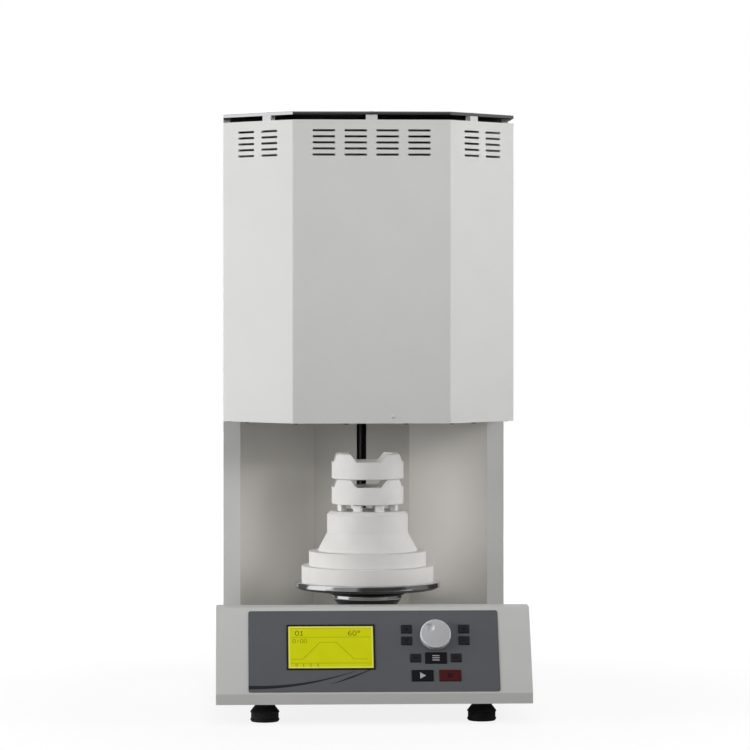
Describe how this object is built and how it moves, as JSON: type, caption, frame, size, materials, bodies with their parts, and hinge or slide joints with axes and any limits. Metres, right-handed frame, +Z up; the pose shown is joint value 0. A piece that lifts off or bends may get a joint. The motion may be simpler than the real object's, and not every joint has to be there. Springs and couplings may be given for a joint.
{
  "type": "dental lab furnace",
  "caption": "Bottom-loading sintering furnace with a lift table, fibre plug, stacked bowls, heated chamber, slotted column and sloping control panel.",
  "frame": {"origin": "on the bench, under the middle of the base", "axes": "+Z up, +X to the user's right, the front faces -Y"},
  "size_m": [0.4, 0.5201, 0.778],
  "materials": {
    "powder_coat_light": "fine textured powder coat",
    "powder_coat_warm": "semi-gloss paint",
    "polished_lid": "polished stainless",
    "bright_spacer": "satin",
    "floor_steel": "brushed stainless",
    "panel_film": "matt film",
    "display_frame": "gloss",
    "display_screen": "backlit screen",
    "key_dark": "matt",
    "key_black": "satin",
    "key_red": "satin",
    "knob_metal": "turned, satin",
    "foot_rubber": "moulded",
    "circuit_board": "circuit board",
    "black_plastic": "moulded",
    "transformer_iron": "laminated core with varnished coils",
    "fibre_board": "vacuum-formed ceramic fibre, chalky",
    "bowl_ceramic": "unglazed alumina",
    "element_grey": "glassy oxide skin",
    "holder_ceramic": "unglazed",
    "plate_chrome": "polished",
    "hub_black": "satin black",
    "arm_steel": "machined",
    "drive_aluminium": "machined",
    "nut_bronze": "turned",
    "motor_black": "satin"
  },
  "bodies": {
    "chassis": {"base_cover": "powder_coat_light", "base_tray": "powder_coat_light", "rubber_feet": "foot_rubber", "control_overlay": "panel_film", "display_bezel": "display_frame", "display_panel": "display_screen", "control_board": "circuit_board", "encoder": "black_plastic", "transformer": "transformer_iron", "power_board": "circuit_board", "power_inlet": "black_plastic", "mains_switch": "black_plastic", "column_shell": "powder_coat_light", "recess_panel": "powder_coat_warm", "rear_cover": "powder_coat_light", "fan_frame": "black_plastic", "head_casing": "powder_coat_light", "head_floor": "floor_steel", "top_lid": "polished_lid", "lid_spacers": "bright_spacer", "insulation_mouth": "fibre_board", "insulation_chamber": "fibre_board", "insulation_roof": "fibre_board", "heating_elements": "element_grey", "element_holders": "holder_ceramic", "thermocouple": "holder_ceramic", "guide_rods": "arm_steel", "rod_supports": "drive_aluminium", "screw_bearings": "arm_steel", "lift_motor": "motor_black", "motor_bracket": "arm_steel"},
    "lift_table": {"lift_plate": "plate_chrome", "plate_collar": "plate_chrome", "table_hub": "hub_black", "plug_base": "fibre_board", "plug_step": "fibre_board", "plug_body": "fibre_board", "support_pegs": "bowl_ceramic", "lift_arm": "arm_steel", "lift_carriage": "drive_aluminium", "linear_bushings": "arm_steel", "lift_nut": "nut_bronze"},
    "drive_screw": {"lead_screw": "arm_steel", "shaft_coupling": "drive_aluminium", "motor_shaft": "arm_steel"},
    "lower_bowl": {"sinter_bowl_lower": "bowl_ceramic"},
    "upper_bowl": {"sinter_bowl_upper": "bowl_ceramic"},
    "knob": {"control_knob": "knob_metal"},
    "rocker": {"mains_rocker": "black_plastic"},
    "fan": {"fan_rotor": "black_plastic"},
    "key_up": {"key_up": "key_dark"},
    "key_down": {"key_down": "key_dark"},
    "key_plus": {"key_plus": "key_dark"},
    "key_minus": {"key_minus": "key_dark"},
    "key_back": {"key_back": "key_dark"},
    "key_forward": {"key_forward": "key_dark"},
    "key_program": {"key_program": "key_black"},
    "key_start": {"key_start": "key_black"},
    "key_stop": {"key_stop": "key_red"}
  },
  "joints": [
    {"name": "table_lift", "type": "slide", "parent": "chassis", "child": "lift_table", "axis": [0, 0, 1], "range_m": [0, 0.214]},
    {"name": "screw_turn", "type": "hinge", "parent": "chassis", "child": "drive_screw", "pos_m": [0, 0.2005, 0.3], "axis": [0, 0, 1], "range_deg": [-7705, 0]},
    {"name": "lower_bowl_out", "type": "slide", "parent": "lift_table", "child": "lower_bowl", "axis": [0, 1, 0], "range_m": [-0.3, 0]},
    {"name": "upper_bowl_off", "type": "slide", "parent": "lower_bowl", "child": "upper_bowl", "axis": [0, 0, 1], "range_m": [0, 0.03]},
    {"name": "knob_turn", "type": "hinge", "parent": "chassis", "child": "knob", "pos_m": [0.0785, -0.22285, 0.10678], "axis": [0, -0.8769, 0.4806], "continuous": true},
    {"name": "rocker_swing", "type": "hinge", "parent": "chassis", "child": "rocker", "pos_m": [0.078, 0.255, 0.072], "axis": [1, 0, 0], "range_deg": [-16, 0]},
    {"name": "fan_spin", "type": "hinge", "parent": "chassis", "child": "fan", "pos_m": [0, 0.24, 0.627], "axis": [0, -1, 0], "continuous": true},
    {"name": "key_up_press", "type": "slide", "parent": "chassis", "child": "key_up", "axis": [0, 0.8769, -0.4806], "range_m": [0, 0.0005], "stiffness_N_per_m": 800, "springref_m": -0.0005},
    {"name": "key_down_press", "type": "slide", "parent": "chassis", "child": "key_down", "axis": [0, 0.8769, -0.4806], "range_m": [0, 0.0005], "stiffness_N_per_m": 800, "springref_m": -0.0005},
    {"name": "key_plus_press", "type": "slide", "parent": "chassis", "child": "key_plus", "axis": [0, 0.8769, -0.4806], "range_m": [0, 0.0005], "stiffness_N_per_m": 800, "springref_m": -0.0005},
    {"name": "key_minus_press", "type": "slide", "parent": "chassis", "child": "key_minus", "axis": [0, 0.8769, -0.4806], "range_m": [0, 0.0005], "stiffness_N_per_m": 800, "springref_m": -0.0005},
    {"name": "key_back_press", "type": "slide", "parent": "chassis", "child": "key_back", "axis": [0, 0.8769, -0.4806], "range_m": [0, 0.0005], "stiffness_N_per_m": 800, "springref_m": -0.0005},
    {"name": "key_forward_press", "type": "slide", "parent": "chassis", "child": "key_forward", "axis": [0, 0.8769, -0.4806], "range_m": [0, 0.0005], "stiffness_N_per_m": 800, "springref_m": -0.0005},
    {"name": "key_program_press", "type": "slide", "parent": "chassis", "child": "key_program", "axis": [0, 0.8769, -0.4806], "range_m": [0, 0.0005], "stiffness_N_per_m": 800, "springref_m": -0.0005},
    {"name": "key_start_press", "type": "slide", "parent": "chassis", "child": "key_start", "axis": [0, 0.8769, -0.4806], "range_m": [0, 0.0005], "stiffness_N_per_m": 800, "springref_m": -0.0005},
    {"name": "key_stop_press", "type": "slide", "parent": "chassis", "child": "key_stop", "axis": [0, 0.8769, -0.4806], "range_m": [0, 0.0005], "stiffness_N_per_m": 800, "springref_m": -0.0005}
  ],
  "couplings": [
    {"joint": "screw_turn", "follows": "table_lift", "rad_per_m": -628.32}
  ]
}
